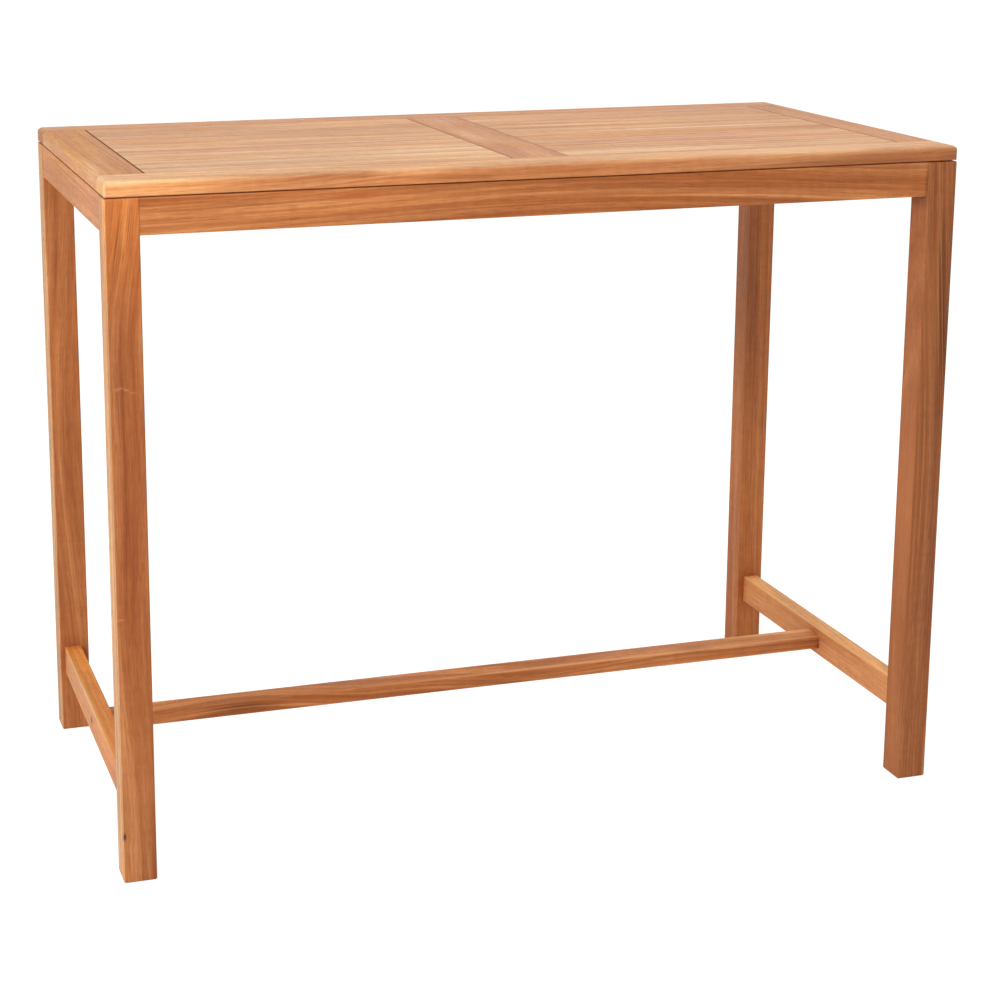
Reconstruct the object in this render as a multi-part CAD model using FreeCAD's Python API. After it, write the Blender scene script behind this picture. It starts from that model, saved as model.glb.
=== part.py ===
import FreeCAD, Part
import os

from FreeCAD import Rotation, Vector

# An outdoor bar table in solid wood: a slatted top on four square legs, joined by aprons
# under the top and by an H of stretchers near the floor. Millimetres, +Z up, front at -Y.
# The origin is on the floor, under the middle of the top.

# Whole table
table_length = 1400.0
table_depth = 700.0
table_height = 1100.0

# Frame of the top: two long rails, two end boards and a centre board
top_thickness = 24.0
top_rail_width = 68.0
end_board_width = 72.0
centre_board_width = 92.0
top_corner_radius = 4.0
top_round_over = 10.0
top_lower_round = 2.0
joint_ease = 0.8
board_tenon_length = 30.0
board_tenon_thickness = 9.0
board_tenon_shoulder = 11.0

# Slats of the two panels
slats_per_panel = 11
slat_thickness = 20.0
slat_side_gap = 1.0
slat_end_gap = 1.6
tongue_drop = 7.0
tongue_thickness = 7.0
tongue_reach = 8.0

# Dark line between the top and what carries it
shadow_gap = 2.0
shadow_gap_depth = 8.0

# Legs
leg_side = 52.0
leg_round = 2.5
foot_chamfer = 2.0
leg_top_ease = 1.5

# Aprons
apron_height = 56.0
apron_thickness = 24.0
apron_setback = 1.0
apron_round = 2.0
apron_tenon_length = 26.0
apron_tenon_thickness = 10.0
apron_tenon_shoulder = 8.0

# Stretchers
end_stretcher_bottom = 108.0
end_stretcher_height = 51.0
end_stretcher_thickness = 29.0
end_stretcher_inset = 9.0
end_tenon_length = 26.0
end_tenon_thickness = 11.0
end_tenon_shoulder = 8.0
long_stretcher_width = 44.0
long_stretcher_thickness = 24.0
stub_tenon_length = 10.0
stub_tenon_shoulder = 6.0
stretcher_round = 2.0

# Cross bearer under the centre board
bearer_width = 44.0
bearer_height = 28.0
bearer_tenon_length = 10.0
bearer_tenon_shoulder = 6.0
bearer_round = 1.5
bearer_screw_spacing = 190.0

# Cleats that hold the top down to the aprons
cleat_length = 90.0
cleat_section = 22.0
cleat_round = 1.5
cleat_screw_spacing = 50.0
cleat_cross_shift = 12.0
long_cleat_spacing = 660.0

# Screws of the cleats and the bearer
screw_length = 35.0
screw_diameter = 4.0
screw_head_diameter = 8.0
screw_head_height = 3.2
screw_tip_length = 5.0
screw_recess_width = 3.0
screw_recess_depth = 1.8
counterbore_depth = 8.0

# Screws and plugs of the long stretcher
stretcher_screw_length = 75.0
stretcher_screw_diameter = 6.0
stretcher_screw_head_diameter = 10.0
stretcher_screw_head_height = 3.5
stretcher_screw_tip_length = 7.0
stretcher_screw_recess_width = 4.0
stretcher_screw_recess_depth = 2.2
plug_diameter = 11.0
plug_length = 7.0

# Clearances
tenon_clearance = 0.15
tenon_end_clearance = 1.0
groove_clearance = 0.2
screw_clearance = 0.05
plug_clearance = 0.05
cut_past = 6.0
same_place = 0.001

# Shares of the size that each name says
screw_point_share = 0.25
recess_slot_share = 0.25
same_direction_share = 0.999

# Levels and planes that several pieces share
half_length = table_length / 2
half_depth = table_depth / 2
top_underside = table_height - top_thickness
apron_top = top_underside - shadow_gap
apron_bottom = apron_top - apron_height
leg_inner_x = half_length - leg_side
leg_inner_y = half_depth - leg_side
rail_inner_y = half_depth - top_rail_width
end_board_inner_x = half_length - end_board_width
centre_board_edge_x = centre_board_width / 2
apron_outer_x = half_length - apron_setback
apron_outer_y = half_depth - apron_setback
apron_inner_x = apron_outer_x - apron_thickness
apron_inner_y = apron_outer_y - apron_thickness
end_stretcher_outer_x = half_length - end_stretcher_inset
end_stretcher_inner_x = end_stretcher_outer_x - end_stretcher_thickness
end_stretcher_middle_z = end_stretcher_bottom + end_stretcher_height / 2

SIDES = {"front": -1, "back": 1}
ENDS = {"left": -1, "right": 1}
UP = Vector(0, 0, 1)
X_AXIS = Vector(1, 0, 0)
Y_AXIS = Vector(0, 1, 0)
ORIGIN = Vector(0, 0, 0)


def box(x_range, y_range, z_range):
    """A box between two values on each axis, given in either order."""
    low = [min(pair) for pair in (x_range, y_range, z_range)]
    high = [max(pair) for pair in (x_range, y_range, z_range)]
    return Part.makeBox(high[0] - low[0], high[1] - low[1], high[2] - low[2], Vector(*low))


def centred(middle, size):
    """The range of this size about a middle value."""
    return (middle - size / 2, middle + size / 2)


def edges_on(shape, **planes):
    """The edges that lie wholly in every named plane, such as z=table_height."""
    found = []
    for edge in shape.Edges:
        on_all = all(
            abs(getattr(vertex.Point, axis) - value) < same_place
            for axis, value in planes.items()
            for vertex in edge.Vertexes
        )
        if on_all:
            found.append(edge)
    return found


def along(shape, axis):
    """The straight edges that run along an axis."""
    found = []
    for edge in shape.Edges:
        if len(edge.Vertexes) == 2:
            run = edge.Vertexes[1].Point - edge.Vertexes[0].Point
            if abs(run.normalize().dot(axis)) > same_direction_share:
                found.append(edge)
    return found


def to_side(shape, end, side):
    """A piece modelled at the positive end and side, mirrored to the end and side asked for."""
    if end < 0:
        shape = shape.mirror(ORIGIN, X_AXIS)
    if side < 0:
        shape = shape.mirror(ORIGIN, Y_AXIS)
    return shape


def pointed(shape, place, direction):
    """A shape modelled along +Z from the origin, turned to a direction and set at a place."""
    turned = shape.copy()
    turned.Placement = FreeCAD.Placement(place, Rotation(UP, direction))
    return turned


def drilled(shape, cutters):
    """The shape with every cutter that reaches it taken out."""
    reaching = [cutter for cutter in cutters if cutter.BoundBox.intersect(shape.BoundBox)]
    return shape.cut(reaching) if reaching else shape


def pointed_shank(radius, start, length, tip):
    """The round shank of a screw along +Z, from its head to its point."""
    straight = Part.makeCylinder(radius, length - tip - start, Vector(0, 0, start))
    point = Part.makeCone(radius, radius * screw_point_share, tip, Vector(0, 0, length - tip))
    return straight.fuse(point)


def cross_recess(width, depth):
    """The cross in a screw's head for the driver."""
    wide = centred(0, width)
    narrow = centred(0, width * recess_slot_share)
    deep = (-cut_past, depth)
    return [box(wide, narrow, deep), box(narrow, wide, deep)]


def small_screw():
    """A countersunk screw along +Z, with its head's outer face at zero."""
    radius = screw_diameter / 2
    head = Part.makeCone(screw_head_diameter / 2, radius, screw_head_height)
    shank = pointed_shank(radius, screw_head_height, screw_length, screw_tip_length)
    return head.fuse(shank).removeSplitter().cut(cross_recess(screw_recess_width, screw_recess_depth))


def small_screw_hole():
    """The countersunk hole that a small screw turns into."""
    radius = screw_diameter / 2 + screw_clearance
    head_radius = screw_head_diameter / 2 + screw_clearance
    entry = Part.makeCylinder(head_radius, cut_past, Vector(0, 0, -cut_past))
    countersink = Part.makeCone(head_radius, radius, screw_head_height)
    bore = Part.makeCylinder(radius, screw_length + tenon_end_clearance)
    return entry.fuse([countersink, bore]).removeSplitter()


def stretcher_screw():
    """A long screw along +Z with a flat round head, whose outer face is at zero."""
    radius = stretcher_screw_diameter / 2
    head = Part.makeCylinder(stretcher_screw_head_diameter / 2, stretcher_screw_head_height)
    shank = pointed_shank(
        radius, stretcher_screw_head_height, stretcher_screw_length, stretcher_screw_tip_length
    )
    recess = cross_recess(stretcher_screw_recess_width, stretcher_screw_recess_depth)
    return head.fuse(shank).removeSplitter().cut(recess)


def stretcher_screw_hole():
    """The bore for the shank of a stretcher screw."""
    radius = stretcher_screw_diameter / 2 + screw_clearance
    return Part.makeCylinder(radius, stretcher_screw_length + tenon_end_clearance)


def cleat_places():
    """Name, middle of the face on the apron, and direction away from the apron, of each cleat."""
    places = []
    for side_name, side in SIDES.items():
        for end_name, end in ENDS.items():
            middle = Vector(end * long_cleat_spacing / 2, side * apron_inner_y, top_underside)
            places.append((f"cleat_{side_name}_{end_name}", middle, Vector(0, -side, 0)))
    for end_name, end in ENDS.items():
        middle = Vector(end * apron_inner_x, 0, top_underside)
        places.append((f"cleat_{end_name}", middle, Vector(-end, 0, 0)))
    return places


def screw_places():
    """Head place and direction of each small screw, in the cleats and up through the bearer."""
    places = []
    for _, middle, away in cleat_places():
        run = away.cross(UP)
        for step in (-1, 1):
            level = middle + run * (step * cleat_screw_spacing / 2)
            into_apron = level + away * cleat_section - UP * (cleat_section / 2)
            places.append((into_apron, -away))
            beside = level - run * (step * cleat_cross_shift)
            into_top = beside + away * (cleat_section / 2) - UP * cleat_section
            places.append((into_top, UP))
    head_level = top_underside - bearer_height + counterbore_depth
    for step in (-1, 0, 1):
        places.append((Vector(0, step * bearer_screw_spacing, head_level), UP))
    return places


def screw_holes():
    """The holes of all small screws."""
    return [pointed(small_screw_hole(), place, direction) for place, direction in screw_places()]


def stretcher_screw_places():
    """Head place and direction of the two long stretcher screws, each behind its plug."""
    places = []
    for end in ENDS.values():
        head_x = end_stretcher_outer_x - plug_length
        places.append((Vector(end * head_x, 0, end_stretcher_middle_z), Vector(-end, 0, 0)))
    return places


def tenon(ranges, lengthwise, mortise):
    """A tenon's box, or its mortise: wider by the clearance, and deeper along the tenon's length."""
    if not mortise:
        return box(*ranges.values())
    grown = []
    for axis, (low, high) in ranges.items():
        extra = tenon_end_clearance if axis == lengthwise else tenon_clearance
        grown.append((low - extra, high + extra))
    return box(*grown)


def long_apron_tenon(mortise=False):
    """The tenon of a long apron in the leg at the positive end and side."""
    ranges = {
        "x": (leg_inner_x, leg_inner_x + apron_tenon_length),
        "y": centred(apron_outer_y - apron_thickness / 2, apron_tenon_thickness),
        "z": (apron_bottom + apron_tenon_shoulder, apron_top - apron_tenon_shoulder),
    }
    return tenon(ranges, "x", mortise)


def end_apron_tenon(mortise=False):
    """The tenon of an end apron in the leg at the positive end and side."""
    ranges = {
        "x": centred(apron_outer_x - apron_thickness / 2, apron_tenon_thickness),
        "y": (leg_inner_y, leg_inner_y + apron_tenon_length),
        "z": (apron_bottom + apron_tenon_shoulder, apron_top - apron_tenon_shoulder),
    }
    return tenon(ranges, "y", mortise)


def end_stretcher_tenon(mortise=False):
    """The tenon of an end stretcher in the leg at the positive end and side."""
    stretcher_top = end_stretcher_bottom + end_stretcher_height
    ranges = {
        "x": centred(end_stretcher_outer_x - end_stretcher_thickness / 2, end_tenon_thickness),
        "y": (leg_inner_y, leg_inner_y + end_tenon_length),
        "z": (end_stretcher_bottom + end_tenon_shoulder, stretcher_top - end_tenon_shoulder),
    }
    return tenon(ranges, "y", mortise)


def stub_tenon(mortise=False):
    """The stub of the long stretcher in the end stretcher at the positive end."""
    ranges = {
        "x": (end_stretcher_inner_x, end_stretcher_inner_x + stub_tenon_length),
        "y": centred(0, long_stretcher_width - 2 * stub_tenon_shoulder),
        "z": centred(end_stretcher_middle_z, long_stretcher_thickness - 2 * stub_tenon_shoulder),
    }
    return tenon(ranges, "x", mortise)


def bearer_tenon(mortise=False):
    """The stub of the bearer in the back apron."""
    ranges = {
        "x": centred(0, bearer_width - 2 * bearer_tenon_shoulder),
        "y": (apron_inner_y, apron_inner_y + bearer_tenon_length),
        "z": centred(top_underside - bearer_height / 2, bearer_height - 2 * bearer_tenon_shoulder),
    }
    return tenon(ranges, "y", mortise)


def board_tenon(middle_x, width, mortise=False):
    """The tenon of an end board or the centre board in the back rail of the top."""
    ranges = {
        "x": centred(middle_x, width - 2 * board_tenon_shoulder),
        "y": (rail_inner_y, rail_inner_y + board_tenon_length),
        "z": centred(table_height - top_thickness / 2, board_tenon_thickness),
    }
    return tenon(ranges, "y", mortise)


def tongue_groove(edge_x, direction):
    """The groove that takes the slats' tongues, cut into a board's edge in the direction given."""
    tongue_top = table_height - tongue_drop
    return box(
        (edge_x - direction * cut_past, edge_x + direction * (tongue_reach + tenon_end_clearance)),
        (-rail_inner_y - board_tenon_length, rail_inner_y + board_tenon_length),
        (tongue_top - tongue_thickness, tongue_top + groove_clearance),
    )


def rounded_over(slab, axis, outermost):
    """The slab with its two sides across an axis rounded over above and eased below."""
    for radius, level in ((top_round_over, table_height), (top_lower_round, top_underside)):
        rims = []
        for value in (-outermost, outermost):
            rims += edges_on(slab, z=level, **{axis: value})
        slab = slab.makeFillet(radius, rims)
    return slab


def top_outline():
    """The whole top as one slab. Its rounded sides meet in a mitre over small upright corners."""
    slab = box((-half_length, half_length), (-half_depth, half_depth), (top_underside, table_height))
    corners = slab.makeFillet(top_corner_radius, along(slab, UP))
    ends = rounded_over(slab, "x", half_length)
    sides = rounded_over(slab, "y", half_depth)
    return ends.common(sides).common(corners)


def top_rail(side):
    """A long rail of the top. Three mortises take the boards that cross between the rails."""
    rail = box((-half_length, half_length), (rail_inner_y, half_depth), (top_underside, table_height))
    rail = rail.makeChamfer(joint_ease, edges_on(rail, y=rail_inner_y, z=table_height))
    rail = rail.common(top_outline())
    end_board_x = half_length - end_board_width / 2
    mortises = [board_tenon(end_board_x * end, end_board_width, mortise=True) for end in ENDS.values()]
    mortises.append(board_tenon(0, centre_board_width, mortise=True))
    return drilled(to_side(rail.cut(mortises), 1, side), screw_holes())


def top_end_board(end):
    """A cross board at one end of the top, grooved along its inner edge for the slats."""
    board = box(
        (end_board_inner_x, half_length),
        (-rail_inner_y, rail_inner_y),
        (top_underside, table_height),
    )
    eased = edges_on(board, x=end_board_inner_x, z=table_height)
    for side in SIDES.values():
        eased += edges_on(board, y=side * rail_inner_y, z=table_height)
    board = board.makeChamfer(joint_ease, eased).common(top_outline())
    board = board.cut(tongue_groove(end_board_inner_x, 1))
    tenon_at_back = board_tenon(half_length - end_board_width / 2, end_board_width)
    board = board.fuse([tenon_at_back, tenon_at_back.mirror(ORIGIN, Y_AXIS)]).removeSplitter()
    return drilled(to_side(board, end, 1), screw_holes())


def top_centre_board():
    """The cross board in the middle of the top, grooved along both edges for the slats."""
    board = box(
        (-centre_board_edge_x, centre_board_edge_x),
        (-rail_inner_y, rail_inner_y),
        (top_underside, table_height),
    )
    board = board.makeChamfer(joint_ease, edges_on(board, z=table_height))
    board = board.cut([tongue_groove(end * centre_board_edge_x, -end) for end in ENDS.values()])
    tenon_at_back = board_tenon(0, centre_board_width)
    board = board.fuse([tenon_at_back, tenon_at_back.mirror(ORIGIN, Y_AXIS)]).removeSplitter()
    return drilled(board, screw_holes())


def slat(end, row):
    """One slat of a panel, counted from the front, with a tongue at both ends."""
    panel_depth = 2 * rail_inner_y
    width = (panel_depth - (slats_per_panel + 1) * slat_side_gap) / slats_per_panel
    front_y = -rail_inner_y + slat_side_gap + row * (width + slat_side_gap)
    y_range = (front_y, front_y + width)
    near_x = centre_board_edge_x + slat_end_gap
    far_x = end_board_inner_x - slat_end_gap
    tongue_top = table_height - tongue_drop
    plank = box((near_x, far_x), y_range, (table_height - slat_thickness, table_height))
    plank = plank.makeChamfer(joint_ease, edges_on(plank, z=table_height))
    tongues = box(
        (centre_board_edge_x - tongue_reach, end_board_inner_x + tongue_reach),
        y_range,
        (tongue_top - tongue_thickness, tongue_top),
    )
    return to_side(plank.fuse(tongues).removeSplitter(), end, 1)


def shadow_rebate_x(outer_x):
    """The rebate of the dark line along an end of the table, behind an outer face."""
    return box(
        (half_length - shadow_gap_depth, outer_x + cut_past),
        (-half_depth - cut_past, half_depth + cut_past),
        (apron_top, top_underside + cut_past),
    )


def shadow_rebate_y(outer_y):
    """The rebate of the dark line along the back of the table, behind an outer face."""
    return box(
        (-half_length - cut_past, half_length + cut_past),
        (half_depth - shadow_gap_depth, outer_y + cut_past),
        (apron_top, top_underside + cut_past),
    )


def eased_edge(outer, across, length):
    """A cutter for the slanted edge at the top of a leg's outer face.

    outer is where the face stands on the axis across, and the edge runs along length.
    """
    corners = [
        across * (outer - leg_top_ease) + UP * apron_top,
        across * (outer + cut_past) + UP * apron_top,
        across * (outer + cut_past) + UP * (apron_top - leg_top_ease - cut_past),
    ]
    face = Part.Face(Part.makePolygon([*corners, corners[0]]))
    return face.extrude(length)


def leg(end, side):
    """A square leg up to the top, with its mortises, eased corners and a chamfered foot."""
    post = box((leg_inner_x, half_length), (leg_inner_y, half_depth), (0, top_underside))
    post = post.makeFillet(leg_round, along(post, UP))
    post = post.makeChamfer(foot_chamfer, edges_on(post, z=0))
    cutters = [
        shadow_rebate_x(half_length),
        shadow_rebate_y(half_depth),
        eased_edge(half_length, X_AXIS, Y_AXIS * (half_depth + cut_past)),
        eased_edge(half_depth, Y_AXIS, X_AXIS * (half_length + cut_past)),
        long_apron_tenon(mortise=True),
        end_apron_tenon(mortise=True),
        end_stretcher_tenon(mortise=True),
    ]
    return to_side(post.cut(cutters), end, side)


def long_apron(side):
    """The front or back apron, tenoned into two legs, with a mortise for the bearer."""
    board = box((-leg_inner_x, leg_inner_x), (apron_inner_y, apron_outer_y), (apron_bottom, top_underside))
    board = board.makeFillet(apron_round, edges_on(board, y=apron_outer_y, z=apron_bottom))
    board = board.makeFillet(apron_round, edges_on(board, y=apron_inner_y, z=apron_bottom))
    board = board.cut([shadow_rebate_y(apron_outer_y), bearer_tenon(mortise=True)])
    tenon_at_right = long_apron_tenon()
    board = board.fuse([tenon_at_right, tenon_at_right.mirror(ORIGIN, X_AXIS)]).removeSplitter()
    return drilled(to_side(board, 1, side), screw_holes())


def end_apron(end):
    """The left or right apron, tenoned into two legs."""
    board = box((apron_inner_x, apron_outer_x), (-leg_inner_y, leg_inner_y), (apron_bottom, top_underside))
    board = board.makeFillet(apron_round, edges_on(board, x=apron_outer_x, z=apron_bottom))
    board = board.makeFillet(apron_round, edges_on(board, x=apron_inner_x, z=apron_bottom))
    board = board.cut(shadow_rebate_x(apron_outer_x))
    tenon_at_back = end_apron_tenon()
    board = board.fuse([tenon_at_back, tenon_at_back.mirror(ORIGIN, Y_AXIS)]).removeSplitter()
    return drilled(to_side(board, end, 1), screw_holes())


def end_stretcher(end):
    """A low rail between the two legs of one end, bored and mortised for the long stretcher."""
    rail = box(
        (end_stretcher_inner_x, end_stretcher_outer_x),
        (-leg_inner_y, leg_inner_y),
        (end_stretcher_bottom, end_stretcher_bottom + end_stretcher_height),
    )
    rail = rail.makeFillet(stretcher_round, along(rail, Y_AXIS))
    tenon_at_back = end_stretcher_tenon()
    rail = rail.fuse([tenon_at_back, tenon_at_back.mirror(ORIGIN, Y_AXIS)]).removeSplitter()
    plug_bore = Part.makeCylinder(
        plug_diameter / 2 + plug_clearance,
        plug_length + stretcher_screw_head_height + cut_past,
        Vector(end_stretcher_outer_x + cut_past, 0, end_stretcher_middle_z),
        -X_AXIS,
    )
    return drilled(to_side(rail.cut([plug_bore, stub_tenon(mortise=True)]), end, 1), stretcher_screw_holes())


def stretcher_screw_holes():
    """The holes of the two long stretcher screws."""
    places = stretcher_screw_places()
    return [pointed(stretcher_screw_hole(), place, direction) for place, direction in places]


def long_stretcher():
    """The flat rail along the table, with a stub tenon in each end stretcher."""
    rail = box(
        (-end_stretcher_inner_x, end_stretcher_inner_x),
        centred(0, long_stretcher_width),
        centred(end_stretcher_middle_z, long_stretcher_thickness),
    )
    rail = rail.makeFillet(stretcher_round, along(rail, X_AXIS))
    stub_at_right = stub_tenon()
    rail = rail.fuse([stub_at_right, stub_at_right.mirror(ORIGIN, X_AXIS)]).removeSplitter()
    return drilled(rail, stretcher_screw_holes())


def stretcher_screws():
    """The two screws that pull the end stretchers onto the long stretcher."""
    return [pointed(stretcher_screw(), place, direction) for place, direction in stretcher_screw_places()]


def stretcher_plugs():
    """The two wooden plugs that cover those screws, flush with the end stretchers."""
    plugs = []
    for end in ENDS.values():
        start = Vector(end * end_stretcher_outer_x, 0, end_stretcher_middle_z)
        plugs.append(Part.makeCylinder(plug_diameter / 2, plug_length, start, Vector(-end, 0, 0)))
    return plugs


def centre_bearer():
    """The rail under the centre board, stub tenoned into both long aprons and screwed up to the top."""
    rail = box(
        centred(0, bearer_width),
        (-apron_inner_y, apron_inner_y),
        (top_underside - bearer_height, top_underside),
    )
    lower = edges_on(rail, x=bearer_width / 2, z=top_underside - bearer_height)
    lower += edges_on(rail, x=-bearer_width / 2, z=top_underside - bearer_height)
    rail = rail.makeFillet(bearer_round, lower)
    stub_at_back = bearer_tenon()
    rail = rail.fuse([stub_at_back, stub_at_back.mirror(ORIGIN, Y_AXIS)]).removeSplitter()
    counterbores = []
    for step in (-1, 0, 1):
        start = Vector(0, step * bearer_screw_spacing, top_underside - bearer_height - cut_past)
        radius = screw_head_diameter / 2 + screw_clearance
        counterbores.append(Part.makeCylinder(radius, cut_past + counterbore_depth, start))
    return drilled(rail.cut(counterbores), screw_holes())


def cleat(middle, away):
    """A short square block in the corner between an apron and the top."""
    run = away.cross(UP)
    half_run = run * (cleat_length / 2)
    near = middle - half_run - UP * cleat_section
    far = middle + half_run + away * cleat_section
    block = box((near.x, far.x), (near.y, far.y), (near.z, far.z))
    block = block.makeFillet(cleat_round, edges_on(block, z=top_underside - cleat_section))
    return drilled(block, screw_holes())


def top_screws():
    """All small screws: through the cleats and up through the bearer."""
    return [pointed(small_screw(), place, direction) for place, direction in screw_places()]


def table_nodes():
    """Every piece of the table under its name, from the floor up."""
    nodes = {}
    for side_name, side in SIDES.items():
        for end_name, end in ENDS.items():
            nodes[f"leg_{side_name}_{end_name}"] = leg(end, side)
        nodes[f"apron_{side_name}"] = long_apron(side)
        nodes[f"top_rail_{side_name}"] = top_rail(side)
    for end_name, end in ENDS.items():
        nodes[f"end_stretcher_{end_name}"] = end_stretcher(end)
        nodes[f"apron_{end_name}"] = end_apron(end)
        nodes[f"top_end_board_{end_name}"] = top_end_board(end)
        for row in range(slats_per_panel):
            nodes[f"slat_{end_name}_{row + 1:02d}"] = slat(end, row)
    nodes["long_stretcher"] = long_stretcher()
    nodes["stretcher_screws"] = Part.makeCompound(stretcher_screws())
    nodes["stretcher_plugs"] = Part.makeCompound(stretcher_plugs())
    nodes["centre_bearer"] = centre_bearer()
    nodes["top_centre_board"] = top_centre_board()
    for name, middle, away in cleat_places():
        nodes[name] = cleat(middle, away)
    nodes["top_screws"] = Part.makeCompound(top_screws())
    return nodes


os.makedirs("parts", exist_ok=True)
for node_name, solid in table_nodes().items():
    solid.exportStep(f"parts/{node_name}.step")
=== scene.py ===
import math
import random

import bpy
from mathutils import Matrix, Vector


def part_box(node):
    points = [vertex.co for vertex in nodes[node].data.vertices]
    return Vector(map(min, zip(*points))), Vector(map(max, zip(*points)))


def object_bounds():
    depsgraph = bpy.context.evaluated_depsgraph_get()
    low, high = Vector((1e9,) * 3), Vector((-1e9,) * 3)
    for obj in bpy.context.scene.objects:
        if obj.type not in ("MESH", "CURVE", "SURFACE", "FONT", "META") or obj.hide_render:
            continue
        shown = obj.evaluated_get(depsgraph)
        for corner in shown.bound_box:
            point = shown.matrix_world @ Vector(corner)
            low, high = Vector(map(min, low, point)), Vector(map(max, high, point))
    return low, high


# An outdoor bar table in oiled teak. Every board has its own cut of one solid wood:
# rings round a heart that lies beside the board, so faces show stripes and ends show rings.

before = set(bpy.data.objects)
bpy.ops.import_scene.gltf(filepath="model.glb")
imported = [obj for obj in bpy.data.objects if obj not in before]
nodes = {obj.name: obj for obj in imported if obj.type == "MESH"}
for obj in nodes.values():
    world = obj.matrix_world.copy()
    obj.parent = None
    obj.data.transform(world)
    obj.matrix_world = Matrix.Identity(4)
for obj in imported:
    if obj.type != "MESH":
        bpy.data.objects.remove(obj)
cad_low, cad_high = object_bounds()

MILLIMETRE = 0.001

# Camera, in metres and degrees
camera_place = Vector((-1.2035, -3.4828, 1.5535))
camera_pitch = -12.48
camera_turn = 17.17
camera_lens = 78.81
camera_sensor = 36.0
camera_shift = (0.09, -0.155)
camera_sees_to = 100.0

# Light of the studio: each lamp has its place and its width in metres, and its power in watts
sky_strength = 0.6
background_strength = 1.0
LAMPS = {
    "key_lamp": {"place": Vector((-2.6, -2.6, 1.8)), "power": 52.0, "width": 1.8},
    "top_lamp": {"place": Vector((0.2, -0.2, 3.7)), "power": 39.0, "width": 2.4},
    "side_lamp": {"place": Vector((-3.6, -0.4, 1.1)), "power": 20.0, "width": 2.0},
    "fill_lamp": {"place": Vector((3.4, 0.6, 2.6)), "power": 12.0, "width": 2.0},
}
lamp_aim = Vector((0.0, 0.0, 0.7))

# Floor
floor_size = 60.0
floor_drop = 0.0002
floor_white = (0.9, 0.9, 0.9, 1.0)
floor_glow = 0.82
floor_shadow_share = 0.38

# Cut of the boards: how far the heart of the tree lies from a board, its tilt in degrees, how
# far a board is shifted along its tree in metres, and the usual width of a year in millimetres
heart_distance = (70.0 * MILLIMETRE, 170.0 * MILLIMETRE)
heart_tilt = 1.2
board_shift = 30.0
usual_rings = 5.0

# Growth of the wood: waviness in metres, drift in rings, scales in cycles per metre or per year
trunk_waviness = 9.0 * MILLIMETRE
fibre_waviness = 0.9 * MILLIMETRE
ring_drift = 2.4
ring_drift_scale = 38.0
year_scale = 3.7
late_wood_start = 0.35
late_wood_full = 0.93
late_wood_end = 0.94
weakest_year = 0.25
weakest_late_wood = 0.15
pores_in_late_wood = 0.45
band_along = 0.9
band_across = 120.0

# Noises drawn out in the length of the grain: cycles in a metre along it, and across it
DRAWN_OUT = {
    "trunk": (0.8, 7.0),
    "wriggle": (5.0, 60.0),
    "late wood": (3.1, 40.0),
    "fibre": (1.6, 380.0),
    "pore": (42.0, 1700.0),
    "fleck": (9.0, 300.0),
    "streak": (1.1, 62.0),
    "cloud": (2.2, 17.0),
    "ripple": (90.0, 34.0),
    "haze": (15.0, 250.0),
    "hue": (2.4, 55.0),
}
# Most of a noise lies in this span
NOISE_SPAN = (0.3, 0.7)
# Spans of their noises in which these parts of the figure come in
COMES_IN = {
    "late wood": (0.36, 0.64),
    "pore": (0.60, 0.70),
    "fleck": (0.58, 0.74),
    "streak": (0.56, 0.72),
    "speck": (0.52, 0.68),
    "line": (0.44, 0.6),
}

# Finish of the wood. The turns say how squarely a face has to look along the grain to be end
# grain, and to a tinted side to take its colour, which is mostly painted light: from where it
# starts to where it is full.
fleck_strength = 0.3
pore_strength = 0.28
speck_strength = 0.4
worn_edge_strength = 0.08
arris_width = 2.2 * MILLIMETRE
arris_unevenness = (0.55, 1.5)
arris_noise_scale = 60.0
grain_relief = 0.25 * MILLIMETRE
grain_relief_strength = 0.6
fibre_relief = 0.4
late_wood_relief = 0.15
end_grain_turn = (0.35, 0.9)
faded_side_turn = (0.2, 0.95)
oil_roughness = (0.52, 0.62)
pore_roughness = 0.15
end_grain_roughness = 0.12
oil_shine = 0.22
worn_shine = 0.36
worn_smoothness = 0.02
joint_reach = cad_high - Vector((20.0, 20.0, 0.0)) * MILLIMETRE

# Slats: paler ones have more straw colour, their figure is drawn from these spans, and their
# sides and ends show as dark joints
slat_straw = 0.64
slat_straw_lost = 0.6
slat_contrast = (0.4, 0.8)
slat_streaks = (0.0, 0.3)
slat_ring_strength = (0.1, 0.4)
slat_side_shade = 0.5
SLAT_END_SHADES = {"left": 1.0, "right": 0.3}
# Tone of each slat, from the front to the back
SLAT_TONES = {
    "left": (0.15, 0.08, 0.06, 0.12, 0.18, 0.12, 0.14, 0.27, 0.32, 0.31, 0.34),
    "right": (0.06, 0.28, 0.34, 0.18, 0.62, 0.34, 0.1, 0.4, 0.36, 0.22, 0.25),
}

# Screws: cycles in a metre of the fine marks on them and of the patches of oil
fine_marks_scale = 2600.0
screw_oil_scale = 240.0
screw_roughness = (0.26, 0.42)
screw_relief = 0.05 * MILLIMETRE
screw_relief_strength = 0.3


def display(red, green, blue):
    """A colour as it shows on a screen, 0 to 255, in the light values that shaders take."""
    linear = []
    for value in (red, green, blue):
        share = value / 255
        linear.append(share / 12.92 if share <= 0.04045 else ((share + 0.055) / 1.055) ** 2.4)
    return (*linear, 1.0)


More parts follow.
